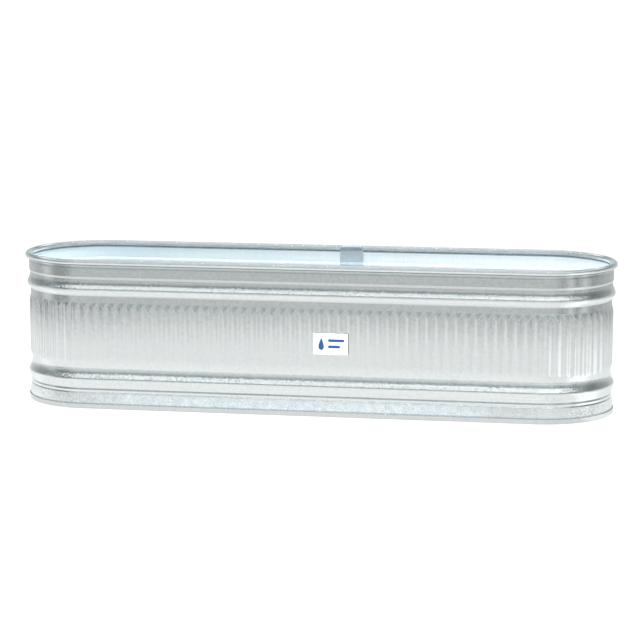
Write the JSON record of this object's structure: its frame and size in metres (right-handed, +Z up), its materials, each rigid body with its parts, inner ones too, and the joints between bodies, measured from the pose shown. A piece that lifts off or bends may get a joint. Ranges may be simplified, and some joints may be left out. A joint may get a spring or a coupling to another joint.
{
  "type": "stock trough",
  "caption": "Round-end galvanised steel trough with a fluted wall, two swaged beads, rolled rim, seamed floor and a screw-in drain plug at one end.",
  "frame": {"origin": "on the ground, under the middle of the trough", "axes": "+X along the trough's length, +Y towards the long wall with the welded seam, +Z up"},
  "size_m": [2.4378, 0.6103, 0.6103],
  "materials": {
    "galvanised_wall": "bright hot-dip galvanised sheet with fine spangle",
    "galvanised_floor": "hot-dip galvanised sheet with visible spangle",
    "tube_steel": "zinc-coated tube",
    "zinc_paint": "dull brushed zinc-rich paint",
    "sealant": "matte tooled sealant",
    "brass_fitting": "machined brass",
    "plated_washer": "zinc plated",
    "rubber_gasket": "matte rubber",
    "plug_plastic": "moulded plastic",
    "label_film": "printed white film"
  },
  "bodies": {
    "tank": {"wall_front": "galvanised_wall", "wall_right_end": "galvanised_wall", "wall_rear": "galvanised_wall", "wall_left_end": "galvanised_wall", "floor_sheet": "galvanised_floor", "floor_seam_sealant": "sealant", "rim_tube": "tube_steel", "rim_splice": "tube_steel", "zinc_paint_inside": "zinc_paint", "zinc_paint_outside": "zinc_paint", "label_sheet": "label_film", "drain_bushing": "brass_fitting", "drain_outer_gasket": "rubber_gasket", "drain_inner_gasket": "rubber_gasket", "drain_washer": "plated_washer", "drain_lock_nut": "brass_fitting"},
    "plug_seal": {"drain_plug_seal": "rubber_gasket"},
    "drain_plug": {"drain_plug": "plug_plastic"}
  },
  "joints": [
    {"name": "plug_travel", "type": "slide", "parent": "tank", "child": "plug_seal", "axis": [-0.766, 0.6428, 0], "range_m": [0, 0.01386]},
    {"name": "plug_unscrew", "type": "hinge", "parent": "plug_seal", "child": "drain_plug", "pos_m": [-1.13692, 0.18705, 0.06], "axis": [-0.766, 0.6428, 0], "range_deg": [0, 2160]}
  ],
  "couplings": [
    {"joint": "plug_travel", "follows": "plug_unscrew", "m_per_rad": 0.00036749}
  ]
}
